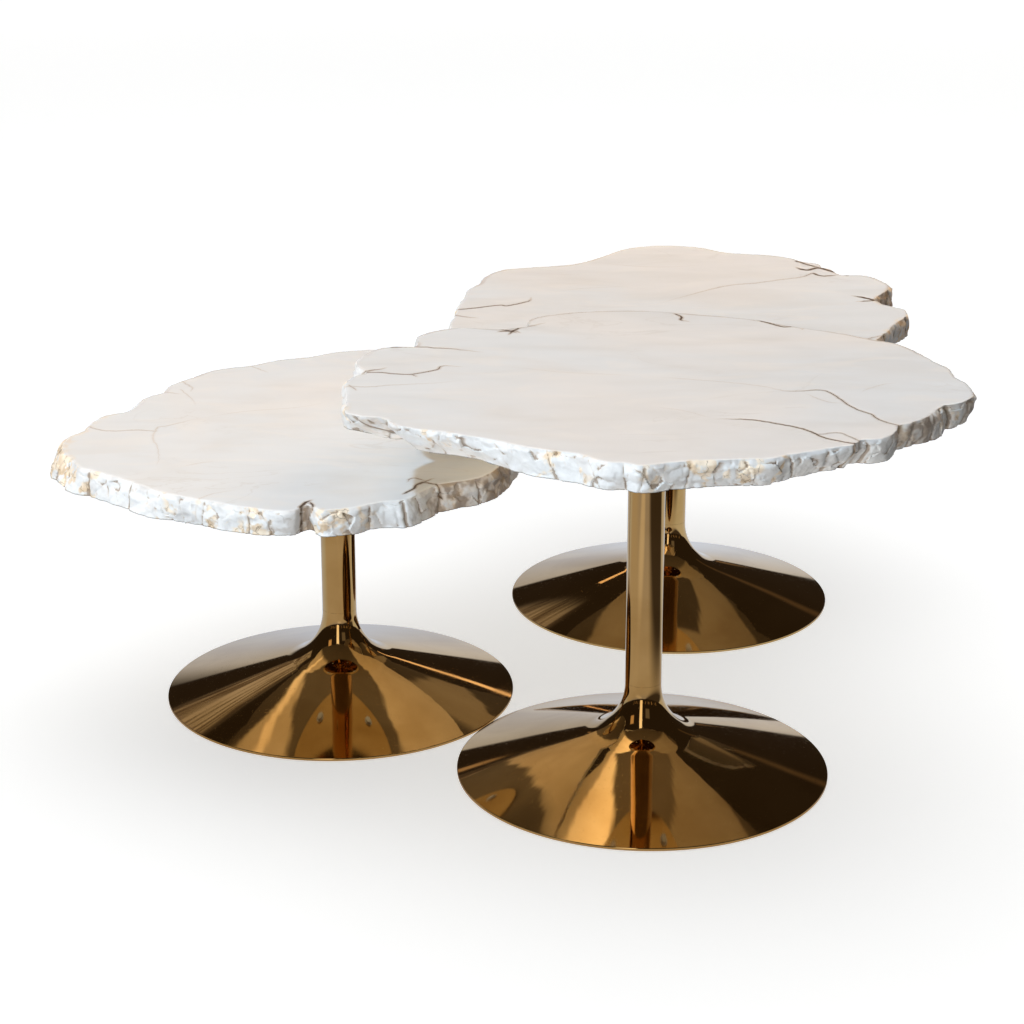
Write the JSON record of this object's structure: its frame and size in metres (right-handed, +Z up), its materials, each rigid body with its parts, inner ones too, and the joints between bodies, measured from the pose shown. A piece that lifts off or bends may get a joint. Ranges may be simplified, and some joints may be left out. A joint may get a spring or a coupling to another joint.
{
  "type": "nesting tables",
  "caption": "Free-standing pedestal tables with broken-edge stone slabs on slim tubes and spun trumpet bases, at stepped heights so that their tops slide over one another.",
  "frame": {"origin": "on the floor, at the middle of the whole set's floor box", "axes": "+Z up; +Y from the front of the set towards its back; +X to the right as seen from the front"},
  "size_m": [1.2718, 1.473, 0.55],
  "materials": {
    "quartz": "polished face, broken natural edge, veined",
    "polished_bronze": "mirror polished, antique gold",
    "plate_steel": "satin black",
    "zinc_steel": "zinc plated",
    "cast_iron": "painted casting",
    "insert_brass": "turned",
    "gasket_rubber": "matt sheet",
    "pad_rubber": "matt, fine grain"
  },
  "bodies": {
    "tall_table": {"tall_slab": "quartz", "tall_slab_inserts": "insert_brass", "tall_slab_gasket": "gasket_rubber", "tall_top_plate": "polished_bronze", "tall_plate_screws": "zinc_steel", "tall_screw_washers": "zinc_steel", "tall_plate_boss": "plate_steel", "tall_column": "polished_bronze", "tall_neck_sleeve": "plate_steel", "tall_tie_rod": "zinc_steel", "tall_base_shell": "polished_bronze", "tall_ballast": "cast_iron", "tall_rod_washer": "zinc_steel", "tall_rod_nut": "zinc_steel", "tall_base_pad": "pad_rubber"},
    "middle_table": {"middle_slab": "quartz", "middle_slab_inserts": "insert_brass", "middle_slab_gasket": "gasket_rubber", "middle_top_plate": "polished_bronze", "middle_plate_screws": "zinc_steel", "middle_screw_washers": "zinc_steel", "middle_plate_boss": "plate_steel", "middle_column": "polished_bronze", "middle_neck_sleeve": "plate_steel", "middle_tie_rod": "zinc_steel", "middle_base_shell": "polished_bronze", "middle_ballast": "cast_iron", "middle_rod_washer": "zinc_steel", "middle_rod_nut": "zinc_steel", "middle_base_pad": "pad_rubber"},
    "low_table": {"low_slab": "quartz", "low_slab_inserts": "insert_brass", "low_slab_gasket": "gasket_rubber", "low_top_plate": "polished_bronze", "low_plate_screws": "zinc_steel", "low_screw_washers": "zinc_steel", "low_plate_boss": "plate_steel", "low_column": "polished_bronze", "low_neck_sleeve": "plate_steel", "low_tie_rod": "zinc_steel", "low_base_shell": "polished_bronze", "low_ballast": "cast_iron", "low_rod_washer": "zinc_steel", "low_rod_nut": "zinc_steel", "low_base_pad": "pad_rubber"}
  },
  "joints": [
    {"name": "low_slide", "type": "slide", "parent": "tall_table", "child": "low_table", "axis": [-0.8434, 0.5373, 0], "range_m": [0, 0.45]},
    {"name": "middle_slide", "type": "slide", "parent": "tall_table", "child": "middle_table", "axis": [0.1132, 0.9936, 0], "range_m": [-0.16, 0.35]}
  ]
}
